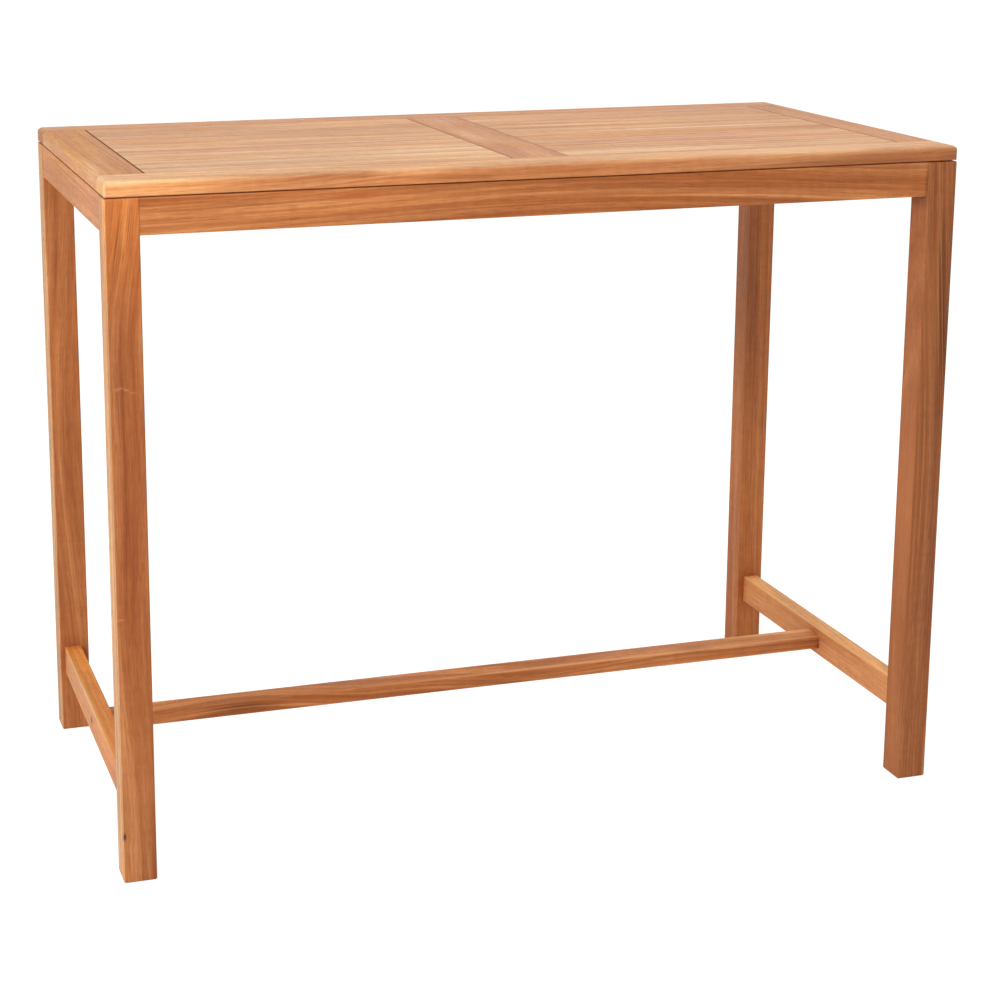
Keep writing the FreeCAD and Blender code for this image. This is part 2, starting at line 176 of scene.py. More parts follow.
PALE_WOOD = {
    "pale": display(229, 152, 93),
    "body": display(206, 127, 70),
    "deep": display(181, 102, 50),
    "streak": display(138, 78, 38),
}
DEEP_WOOD = {
    "pale": display(172, 107, 62),
    "body": display(150, 85, 45),
    "deep": display(129, 67, 32),
    "streak": display(94, 51, 26),
}
STRAW = display(216, 180, 136)
BLEACHING = {"pale": 1.5, "body": 1.0, "deep": 0.65, "streak": 0.4}
# Painted light: the gold that left faces take where the light falls on them
LIT_SIDE_GOLD = display(214, 162, 110)
CREAM = display(226, 180, 138)
TAN = display(186, 116, 56)
ROSE = display(208, 140, 106)
AMBER = display(214, 118, 50)
# Painted shade round the feet of the back legs, where the end stretchers meet them
PAINTED_CONTACT_SHADE = display(146, 72, 32)
JOINT_SHADE = display(108, 54, 16)
KNOT_SHADE = display(66, 38, 26)
GREY_SHADE = display(138, 104, 78)
BRIGHT_STEEL = display(186, 184, 180)
OILY_STEEL = display(158, 156, 152)
COOLER = (0.98, 1.003, 1.06, 1.0)
WARMER = (1.02, 0.997, 0.94, 1.0)
# How much each part of the figure darkens the wood at its lowest, and lightens it at its highest
TONE_SWINGS = {
    "Fibre": (0.93, 1.06),
    "Cloud": (0.87, 1.11),
    "Ripple": (0.974, 1.022),
    "Haze": (0.93, 1.07),
}
# Where the wood is darker it loses more green than red, and more blue than green
SHADE_SPREAD = (1.0, 1.4, 1.8)


class Sheet:
    """A node tree as it is drawn. Each method adds one node and returns its result, a socket.

    node returns the node itself, placed returns all outputs of a group, and feed fills a socket.
    """

    def __init__(self, tree):
        self.tree = tree

    def node(self, kind, **settings):
        made = self.tree.nodes.new(kind)
        for name, value in settings.items():
            setattr(made, name, value)
        return made

    def feed(self, socket, value):
        if isinstance(value, bpy.types.NodeSocket):
            self.tree.links.new(value, socket)
        else:
            socket.default_value = value

    def maths(self, operation, *values, clamp=False):
        made = self.node("ShaderNodeMath", operation=operation, use_clamp=clamp)
        for socket, value in zip(made.inputs, values):
            self.feed(socket, value)
        return made.outputs[0]

    def vectors(self, operation, *values):
        made = self.node("ShaderNodeVectorMath", operation=operation)
        for socket, value in zip(made.inputs, values):
            self.feed(socket, value)
        return made.outputs["Value" if operation in ("LENGTH", "DOT_PRODUCT") else "Vector"]

    def scaled(self, vector, share):
        made = self.vectors("SCALE", vector)
        self.feed(made.node.inputs["Scale"], share)
        return made

    def evenly_scaled(self, place, scale):
        return self.vectors("MULTIPLY", place, (scale, scale, scale))

    def drawn_out(self, place, figure):
        along, across = DRAWN_OUT[figure]
        return self.vectors("MULTIPLY", place, (along, across, across))

    def noise(self, place, detail=2.0, roughness=0.5, output="Fac"):
        made = self.node("ShaderNodeTexNoise")
        self.feed(made.inputs["Vector"], place)
        made.inputs["Scale"].default_value = 1.0
        made.inputs["Detail"].default_value = detail
        made.inputs["Roughness"].default_value = roughness
        return made.outputs[output]

    def line_noise(self, place, scale, detail=1.0):
        made = self.node("ShaderNodeTexNoise", noise_dimensions="1D")
        self.feed(made.inputs["W"], place)
        made.inputs["Scale"].default_value = scale
        made.inputs["Detail"].default_value = detail
        return made.outputs["Fac"]

    def ramp(self, value, low, high, to_low=0.0, to_high=1.0):
        made = self.node("ShaderNodeMapRange", interpolation_type="SMOOTHSTEP")
        for socket, number in zip(made.inputs, (value, low, high, to_low, to_high)):
            self.feed(socket, number)
        return made.outputs["Result"]

    def mix(self, share, first, second):
        made = self.node("ShaderNodeMix", data_type="RGBA")
        self.feed(made.inputs["Factor"], share)
        self.feed(made.inputs[6], first)
        self.feed(made.inputs[7], second)
        return made.outputs[2]

    def placed(self, group, values):
        made = self.node("ShaderNodeGroup", node_tree=group)
        for name, value in values.items():
            self.feed(made.inputs[name], value)
        return made.outputs


def cleared(owner):
    """The sheet of a material or a world, with nothing drawn on it yet."""
    owner.use_nodes = True
    owner.node_tree.nodes.clear()
    return Sheet(owner.node_tree)


def new_group(name, inputs, outputs):
    """A shader node group with named sockets: the group, its sheet, its entries and its exits."""
    group = bpy.data.node_groups.new(name, "ShaderNodeTree")
    for socket_name, kind in inputs.items():
        group.interface.new_socket(socket_name, in_out="INPUT", socket_type=kind)
    for socket_name, kind in outputs.items():
        group.interface.new_socket(socket_name, in_out="OUTPUT", socket_type=kind)
    sheet = Sheet(group)
    entry = sheet.node("NodeGroupInput").outputs
    leave = sheet.node("NodeGroupOutput").inputs
    return group, sheet, entry, leave


NUMBER = "NodeSocketFloat"
VECTOR = "NodeSocketVector"
COLOUR = "NodeSocketColor"
HALVES = (0.5, 0.5, 0.5)
ONES = (1.0, 1.0, 1.0)


def bent_grain(sheet, place):
    """A point in the wood, after slow noise has bent the trunk and quick noise the fibres."""
    slow = sheet.noise(sheet.drawn_out(place, "trunk"), detail=1.0, output="Color")
    slow = sheet.scaled(sheet.vectors("SUBTRACT", slow, HALVES), trunk_waviness)
    quick = sheet.noise(sheet.drawn_out(place, "wriggle"), detail=1.0, output="Color")
    quick = sheet.vectors("SUBTRACT", quick, HALVES)
    quick = sheet.vectors("MULTIPLY", quick, (0.0, fibre_waviness, fibre_waviness))
    return sheet.vectors("ADD", sheet.vectors("ADD", place, slow), quick)


def late_wood(sheet, place, from_heart, ring_width):
    """The dark part of each ring.

    The ring count is the distance from the heart over the ring width, with a slow drift. Each ring
    darkens outwards and stops sharply. Some years are weaker, and all come and go along the board.
    """
    drift = sheet.maths("MULTIPLY", sheet.line_noise(from_heart, ring_drift_scale), ring_drift)
    ring = sheet.maths("ADD", sheet.maths("DIVIDE", from_heart, ring_width), drift)
    phase = sheet.maths("FRACT", ring)
    darkening = sheet.ramp(phase, late_wood_start, late_wood_full)
    stop = sheet.ramp(phase, late_wood_end, 1.0, 1.0, 0.0)
    year = sheet.line_noise(sheet.maths("FLOOR", ring), year_scale, detail=0.0)
    year = sheet.ramp(year, *NOISE_SPAN, weakest_year, 1.0)
    late = sheet.maths("MULTIPLY", sheet.maths("MULTIPLY", darkening, stop), year)
    presence = sheet.noise(sheet.drawn_out(place, "late wood"), detail=1.0)
    presence = sheet.ramp(presence, *COMES_IN["late wood"], weakest_late_wood, 1.0)
    return sheet.maths("MULTIPLY", late, presence)


def grown_wood_group():
    """The figure of solid wood, with the heart of the tree along X.

    Besides the late wood of the rings it holds noise drawn out along X: broad bands that follow
    the rings, fibres, flecks, pores, streaks, cloudy patches, a ripple across, a haze of short
    strokes, and a slow change of hue.
    """
    parts = (
        "Band", "Late Wood", "Fibre", "Fleck", "Pore",
        "Cloud", "Ripple", "Streak", "Haze", "Hue",
    )
    group, sheet, entry, leave = new_group(
        "grown_wood",
        {"Place": VECTOR, "Ring Width": NUMBER},
        dict.fromkeys(parts, NUMBER),
    )
    place = entry["Place"]
    bent = bent_grain(sheet, place)
    from_heart = sheet.vectors("LENGTH", sheet.vectors("MULTIPLY", bent, (0.0, 1.0, 1.0)))
    late = late_wood(sheet, place, from_heart, entry["Ring Width"])
    early = sheet.ramp(late, 0.0, 0.5, 1.0, pores_in_late_wood)
    along = sheet.vectors("MULTIPLY", place, (band_along, 0.0, 0.0))
    across = sheet.node("ShaderNodeCombineXYZ")
    sheet.feed(across.inputs["Y"], sheet.maths("MULTIPLY", from_heart, band_across))
    band = sheet.noise(sheet.vectors("ADD", along, across.outputs[0]), detail=3.0)
    pore = sheet.noise(sheet.drawn_out(bent, "pore"), detail=0.0)
    fleck = sheet.noise(sheet.drawn_out(bent, "fleck"), detail=1.0)
    streak = sheet.noise(sheet.drawn_out(bent, "streak"))
    results = {
        "Band": sheet.ramp(band, *NOISE_SPAN),
        "Late Wood": late,
        "Fibre": sheet.noise(sheet.drawn_out(bent, "fibre")),
        "Fleck": sheet.ramp(fleck, *COMES_IN["fleck"]),
        "Pore": sheet.maths("MULTIPLY", sheet.ramp(pore, *COMES_IN["pore"]), early),
        "Cloud": sheet.noise(sheet.drawn_out(place, "cloud")),
        "Ripple": sheet.noise(sheet.drawn_out(place, "ripple"), detail=1.0),
        "Streak": sheet.ramp(streak, *COMES_IN["streak"]),
        "Haze": sheet.noise(sheet.drawn_out(bent, "haze"), roughness=0.6),
        "Hue": sheet.noise(sheet.drawn_out(bent, "hue"), detail=1.0),
    }
    for name, value in results.items():
        sheet.feed(leave[name], value)
    return group


def worn_edges_group():
    """How near a point is to an edge of a board, 1 on the arris and 0 past its width.

    The distances to the nearest face on each axis are found, and the middle one of the three is
    the distance to the nearest edge. Noise makes the worn line uneven.
    """
    group, sheet, entry, leave = new_group(
        "worn_edges",
        {"Place": VECTOR, "Low Corner": VECTOR, "High Corner": VECTOR},
        {"Edge": NUMBER},
    )
    place = entry["Place"]
    from_low = sheet.vectors("ABSOLUTE", sheet.vectors("SUBTRACT", place, entry["Low Corner"]))
    from_high = sheet.vectors("ABSOLUTE", sheet.vectors("SUBTRACT", entry["High Corner"], place))
    nearest = sheet.node("ShaderNodeSeparateXYZ")
    sheet.feed(nearest.inputs[0], sheet.vectors("MINIMUM", from_low, from_high))
    x, y, z = nearest.outputs
    least = sheet.maths("MINIMUM", sheet.maths("MINIMUM", x, y), z)
    most = sheet.maths("MAXIMUM", sheet.maths("MAXIMUM", x, y), z)
    total = sheet.maths("ADD", sheet.maths("ADD", x, y), z)
    middle = sheet.maths("SUBTRACT", sheet.maths("SUBTRACT", total, least), most)
    uneven = sheet.noise(sheet.evenly_scaled(place, arris_noise_scale), detail=3.0)
    uneven = sheet.ramp(uneven, *NOISE_SPAN, *arris_unevenness)
    width = sheet.maths("MULTIPLY", arris_width, uneven)
    sheet.feed(leave["Edge"], sheet.ramp(sheet.maths("DIVIDE", middle, width), 0.0, 1.0, 1.0, 0.0))
    return group


def joint_shade_group():
    """Oil and dust that darken the sides of the top's boards where they meet inside its outline.

    The strength is given for sides that face along x and along y, and eased edges get a share of
    it. It is 0 outside the inner size, given from the middle of the table.
    """
    group, sheet, entry, leave = new_group(
        "joint_shade",
        {"Place": VECTOR, "Facing": VECTOR, "Strength": VECTOR, "Inner Size": VECTOR},
        {"Mask": NUMBER},
    )
    facing = sheet.vectors("ABSOLUTE", entry["Facing"])
    upright = sheet.vectors("DOT_PRODUCT", facing, entry["Strength"])
    from_middle = sheet.vectors("ABSOLUTE", entry["Place"])
    share = sheet.node("ShaderNodeSeparateXYZ")
    sheet.feed(share.inputs[0], sheet.vectors("DIVIDE", from_middle, entry["Inner Size"]))
    outermost = sheet.maths("MAXIMUM", share.outputs["X"], share.outputs["Y"])
    inside = sheet.maths("LESS_THAN", outermost, 1.0)
    sheet.feed(leave["Mask"], sheet.maths("MULTIPLY", upright, inside, clamp=True))
    return group


def patch_group():
    """A soft patch: 1 in the middle, fading to 0 at its reach on each axis."""
    group, sheet, entry, leave = new_group(
        "patch",
        {"Place": VECTOR, "Middle": VECTOR, "Reach": VECTOR},
        {"Mask": NUMBER},
    )
    offset = sheet.vectors("SUBTRACT", entry["Place"], entry["Middle"])
    distance = sheet.vectors("LENGTH", sheet.vectors("DIVIDE", offset, entry["Reach"]))
    sheet.feed(leave["Mask"], sheet.ramp(distance, 0.0, 1.0, 1.0, 0.0))
    return group


def wood_colour(sheet, entry, figure, end_grain, edge):
    """The colour of the wood at a point.

    It goes from body to deep and to pale with the bands, to deep with the late wood and flecks, to
    the streak colour in streaks and pores, and a little to pale on worn edges. Ends of the grain
    are specked. Fibres, clouds, ripple and haze darken or lighten it, and its hue changes slowly.
    """
    darker = sheet.ramp(figure["Band"], 0.0, 0.5, 1.0, 0.0)
    darker = sheet.maths("MULTIPLY", darker, entry["Contrast"])
    paler = sheet.maths("MULTIPLY", sheet.ramp(figure["Band"], 0.5, 1.0), entry["Contrast"])
    colour = sheet.mix(darker, entry["Body"], entry["Deep"])
    colour = sheet.mix(paler, colour, entry["Pale"])
    late = sheet.maths("MULTIPLY", figure["Late Wood"], entry["Ring Strength"], clamp=True)
    colour = sheet.mix(late, colour, entry["Deep"])
    flecks = sheet.maths("MULTIPLY", figure["Fleck"], fleck_strength)
    colour = sheet.mix(flecks, colour, entry["Deep"])
    streaks = sheet.maths("MULTIPLY", figure["Streak"], entry["Streakiness"])
    colour = sheet.mix(streaks, colour, entry["Streak"])
    specks = sheet.ramp(figure["Fibre"], *COMES_IN["speck"], 0.0, speck_strength)
    specks = sheet.maths("MULTIPLY", specks, end_grain)
    pores = sheet.maths("MULTIPLY", figure["Pore"], pore_strength)
    colour = sheet.mix(sheet.maths("MAXIMUM", pores, specks), colour, entry["Streak"])
    tone = 1.0
    for part, swing in TONE_SWINGS.items():
        tone = sheet.maths("MULTIPLY", tone, sheet.ramp(figure[part], *NOISE_SPAN, *swing))
    shade = sheet.maths("SUBTRACT", tone, 1.0)
    shade = sheet.vectors("MULTIPLY_ADD", shade, SHADE_SPREAD, ONES)
    tint = sheet.mix(sheet.ramp(figure["Hue"], *NOISE_SPAN), COOLER, WARMER)
    colour = sheet.vectors("MULTIPLY", colour, sheet.vectors("MULTIPLY", tint, shade))
    worn = sheet.maths("MULTIPLY", edge, worn_edge_strength)
    return sheet.mix(worn, colour, entry["Pale"])


def wood_roughness(sheet, entry, figure, end_grain):
    """The oil lies duller in some clouds than in others, and is dull in pores and on end grain."""
    roughness = sheet.ramp(figure["Cloud"], *NOISE_SPAN, *oil_roughness)
    roughness = sheet.maths("SUBTRACT", roughness, entry["Smoothness"])
    in_pores = sheet.maths("MULTIPLY", figure["Pore"], pore_roughness)
    roughness = sheet.maths("ADD", roughness, in_pores)
    on_ends = sheet.maths("MULTIPLY", end_grain, end_grain_roughness)
    return sheet.maths("ADD", roughness, on_ends)


def wood_relief(sheet, figure):
    """Fibres stand out a little, and pores and late wood lie lower."""
    relief = sheet.maths("MULTIPLY", figure["Fibre"], fibre_relief)
    relief = sheet.maths("SUBTRACT", relief, figure["Pore"])
    late = sheet.maths("MULTIPLY", figure["Late Wood"], late_wood_relief)
    return sheet.maths("SUBTRACT", relief, late)


def oiled_teak_group(grown_wood, worn_edges):
    """The colour, roughness and relief of oiled teak, from the wood's figure and a board's box.

    Lines is where thin lines may run.
    """
    group, sheet, entry, leave = new_group(
        "oiled_teak",
        {
            "Board Place": VECTOR,
            "Object Place": VECTOR,
            "Facing": VECTOR,
            "Grain Way": VECTOR,
            "Low Corner": VECTOR,
            "High Corner": VECTOR,
            "Pale": COLOUR,
            "Body": COLOUR,
            "Deep": COLOUR,
            "Streak": COLOUR,
            "Streakiness": NUMBER,
            "Contrast": NUMBER,
            "Ring Strength": NUMBER,
            "Smoothness": NUMBER,
            "Ring Width": NUMBER,
        },
        {"Colour": COLOUR, "Roughness": NUMBER, "Relief": NUMBER, "Lines": NUMBER},
    )
    figure = sheet.placed(
        grown_wood,
        {"Place": entry["Board Place"], "Ring Width": entry["Ring Width"]},
    )
    edge = sheet.placed(
        worn_edges,
        {
            "Place": entry["Object Place"],
            "Low Corner": entry["Low Corner"],
            "High Corner": entry["High Corner"],
        },
    )["Edge"]
    end_grain = sheet.vectors("DOT_PRODUCT", entry["Facing"], entry["Grain Way"])
    end_grain = sheet.ramp(sheet.maths("ABSOLUTE", end_grain), *end_grain_turn)
    sheet.feed(leave["Colour"], wood_colour(sheet, entry, figure, end_grain, edge))
    sheet.feed(leave["Roughness"], wood_roughness(sheet, entry, figure, end_grain))
    sheet.feed(leave["Relief"], wood_relief(sheet, figure))
    sheet.feed(leave["Lines"], sheet.ramp(figure["Fibre"], *COMES_IN["line"]))
    return group


GROWN_WOOD = grown_wood_group()
WORN_EDGES = worn_edges_group()
PATCH = patch_group()
JOINT = joint_shade_group()
OILED_TEAK = oiled_teak_group(GROWN_WOOD, WORN_EDGES)

# Turns that lay the heart, along X, in the length of a board
GRAIN_TURNS = {"x": (0.0, 0.0, 0.0), "y": (0.0, 0.0, math.pi / 2), "z": (0.0, -math.pi / 2, 0.0)}
GRAIN_WAYS = {"x": Vector((1, 0, 0)), "y": Vector((0, 1, 0)), "z": Vector((0, 0, 1))}
SIDE_WAYS = {"top": Vector((0, 0, 1)), "left": Vector((-1, 0, 0))}


def between(first, second, share):
    """A colour part of the way from one to another."""
    return tuple(a + (b - a) * share for a, b in zip(first, second))


def toned_colours(tone, bleached):
    """The colours of a board: tone from 0, pale, to 1, deep, and a share of straw colour."""
    colours = {}
    for kind, share in BLEACHING.items():
        toned = between(PALE_WOOD[kind], DEEP_WOOD[kind], tone)
        colours[kind] = between(toned, STRAW, min(bleached * share, 1.0))
    return colours


def heart_beside(node_name, middle, grain, cut):
    """The place and turn of the tree's heart beside a board, a little out of line with it."""
    draw = random.Random(node_name)
    way = GRAIN_WAYS[grain]
    angle = draw.uniform(0, 2 * math.pi) if cut[0] is None else math.radians(cut[0])
    distance = draw.uniform(*heart_distance) if cut[1] is None else cut[1] * MILLIMETRE
    sides = [axis for axis in GRAIN_WAYS.values() if axis.dot(way) == 0]
    place = middle + (sides[0] * math.cos(angle) + sides[1] * math.sin(angle)) * distance
    place += way * draw.uniform(-board_shift, board_shift)
    tilt = [math.radians(draw.uniform(-heart_tilt, heart_tilt)) for _ in range(2)]
    turn = Vector(GRAIN_TURNS[grain])
    turn += Vector((0, tilt[0], tilt[1])) if grain != "y" else Vector((tilt[0], 0, tilt[1]))
    return place, turn


def new_material(name):
    """An empty material: its sheet and its shader."""
    material = bpy.data.materials.new(name)
    sheet = cleared(material)
    shader = sheet.node("ShaderNodeBsdfPrincipled")
    leave = sheet.node("ShaderNodeOutputMaterial")
    sheet.feed(leave.inputs["Surface"], shader.outputs["BSDF"])
    return material, sheet, shader


def add_relief(sheet, shader, height, strength, depth):
    """A fine relief on a surface, from a height and the depth of its full range."""
    bump = sheet.node("ShaderNodeBump")
    bump.inputs["Strength"].default_value = strength
    bump.inputs["Distance"].default_value = depth
    sheet.feed(bump.inputs["Height"], height)
    sheet.feed(shader.inputs["Normal"], bump.outputs["Normal"])


def patch_mask(sheet, place, middle, reach):
    """The mask of one soft patch."""
    return sheet.placed(PATCH, {"Place": place, "Middle": middle, "Reach": reach})["Mask"]


def pushed_aside(sheet, place, bends):
    """A point in the wood after soft bends have pushed the grain aside."""
    pushed = place
    for middle, reach, aside in bends:
        mask = patch_mask(sheet, place, middle, reach)
        pushed = sheet.vectors("SUBTRACT", pushed, sheet.scaled(aside, mask))
    return pushed


def tinted_and_shaded(sheet, where, colour, body, faded, glazes):
    """The colour under tinted sides and tints, which change the body colour and keep the figure.
    Many of them are painted light and painted shade.
    """
    changes = []
    for side, share, shade in faded:
        turned = sheet.vectors("DOT_PRODUCT", where["Normal"], SIDE_WAYS[side])
        changes.append((sheet.ramp(turned, *faded_side_turn, 0.0, share), shade))
    for middle, reach, strength, shade in glazes:
        mask = patch_mask(sheet, where["Object"], middle, reach)
        changes.append((sheet.maths("MULTIPLY", mask, strength), shade))
    for share, shade in changes:
        gain = [new / old for new, old in zip(shade[:3], body)]
        colour = sheet.mix(share, colour, sheet.vectors("MULTIPLY", colour, gain))
    return colour


def marked(sheet, place, colour, fibre_lines, patches, lines):
    """The colour with patches on it, and with lines, which are patches broken up by the fibres."""
    marks = [(*patch, 1.0) for patch in patches] + [(*line, fibre_lines) for line in lines]
    for middle, reach, strength, shade, fibres in marks:
        mask = sheet.maths("MULTIPLY", patch_mask(sheet, place, middle, reach), fibres)
        colour = sheet.mix(sheet.maths("MULTIPLY", mask, strength), colour, shade)
    return colour


def teak(node_name, grain, tone, bleached=0.0, cut=(None, None), contrast=0.8, streaks=0.3,
         rings=usual_rings, ring_strength=0.5, joints=None, faded=(), bends=(), glazes=(),
         patches=(), lines=()):
    """Oiled teak cut for one board.

    tone runs from 0, pale, to 1, deep, and bleached is the share of straw colour in it, most in
    its pale wood. cut is the direction and distance, in degrees and mm across the board, from its
    middle to the heart of the tree, and rings is the width of a year in mm.
    Bends are soft places where the grain swings aside, and patches are darker or paler places.
    Lines are patches broken up into thin lines by the fibres. Tinted sides and tints give the body
    of the wood another colour and keep its figure. Most tinted sides are painted light on faces the
    light falls on, and some tints and patches are painted shade and painted highlights.
    Boards of the top give how dark their joints are, on sides that face along x and along y, and
    have the shine of wear.
    """
    low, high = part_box(node_name)
    heart_place, heart_turn = heart_beside(node_name, (low + high) / 2, grain, cut)
    colours = toned_colours(tone, bleached)
    material, sheet, shader = new_material(f"teak_{node_name}")
    where = sheet.node("ShaderNodeTexCoord").outputs
    laid = sheet.node("ShaderNodeMapping", vector_type="TEXTURE")
    sheet.feed(laid.inputs["Vector"], pushed_aside(sheet, where["Object"], bends))
    laid.inputs["Location"].default_value = heart_place
    laid.inputs["Rotation"].default_value = heart_turn
    wood = sheet.placed(
        OILED_TEAK,
        {
            "Board Place": laid.outputs[0],
            "Object Place": where["Object"],
            "Facing": where["Normal"],
            "Grain Way": GRAIN_WAYS[grain],
            "Low Corner": low,
            "High Corner": high,
            "Pale": colours["pale"],
            "Body": colours["body"],
            "Deep": colours["deep"],
            "Streak": colours["streak"],
            "Streakiness": streaks,
            "Contrast": contrast,
            "Ring Strength": ring_strength,
            "Smoothness": worn_smoothness if joints else 0.0,
            "Ring Width": rings * MILLIMETRE,
        },
    )
    colour = tinted_and_shaded(sheet, where, wood["Colour"], colours["body"], faded, glazes)
    roughness = wood["Roughness"]
    if joints:
        joint = sheet.placed(
            JOINT,
            {
                "Place": where["Object"],
                "Facing": where["Normal"],
                "Strength": (*joints, 0.0),
                "Inner Size": joint_reach,
            },
        )["Mask"]
        colour = sheet.mix(joint, colour, JOINT_SHADE)
        roughness = sheet.maths("MAXIMUM", roughness, joint)
    colour = marked(sheet, where["Object"], colour, wood["Lines"], patches, lines)
    sheet.feed(shader.inputs["Base Color"], colour)
    sheet.feed(shader.inputs["Roughness"], roughness)
    shader.inputs["Specular IOR Level"].default_value = worn_shine if joints else oil_shine
    add_relief(sheet, shader, wood["Relief"], grain_relief_strength, grain_relief)
    return material


def brushed_screw():
    """Stainless steel with fine marks all over and a little oil in places."""
    material, sheet, shader = new_material("brushed_screw_steel")
    place = sheet.node("ShaderNodeTexCoord").outputs["Object"]
    marks = sheet.noise(sheet.evenly_scaled(place, fine_marks_scale))
    oil = sheet.noise(sheet.evenly_scaled(place, screw_oil_scale))
    colour = sheet.mix(sheet.ramp(oil, 0.35, 0.65), BRIGHT_STEEL, OILY_STEEL)
    sheet.feed(shader.inputs["Base Color"], colour)
    sheet.feed(shader.inputs["Roughness"], sheet.ramp(marks, *NOISE_SPAN, *screw_roughness))
    shader.inputs["Metallic"].default_value = 1.0
    add_relief(sheet, shader, marks, screw_relief_strength, screw_relief)
    return material


def finish_node(node_name, material):
    """Puts a material on every slot of a CAD node."""
    target = nodes[node_name]
    if not target.material_slots:
        target.data.materials.append(material)
    for slot in target.material_slots:
        slot.material = material


# Marks are placed in millimetres from the middle of the table, on the floor: x to the right,
# y to the back and z up. Each has its middle, its reach, its strength and its colour.
# Most lie on these faces, given by their y, and on these levels, given by their z.
front_face = -350
apron_face = -349
stretcher_face = -22
back_leg_face = 298
top_level = 1100
under_gap = 1073.5
stretcher_top = 159
stripe_depth = 40


def spot(x, y, z):
    """A place or a reach given in millimetres."""
    return Vector((x, y, z)) * MILLIMETRE


def stripe(x, y, length, width, strength, shade):
    """A soft stripe on the upper face of the top, with its middle and its reach each way."""
    return spot(x, y, top_level), spot(length, width, stripe_depth), strength, shade


def dress(node_name, grain, tone, **wood):
    """Gives a board its own cut of teak."""
    finish_node(node_name, teak(node_name, grain, tone, **wood))


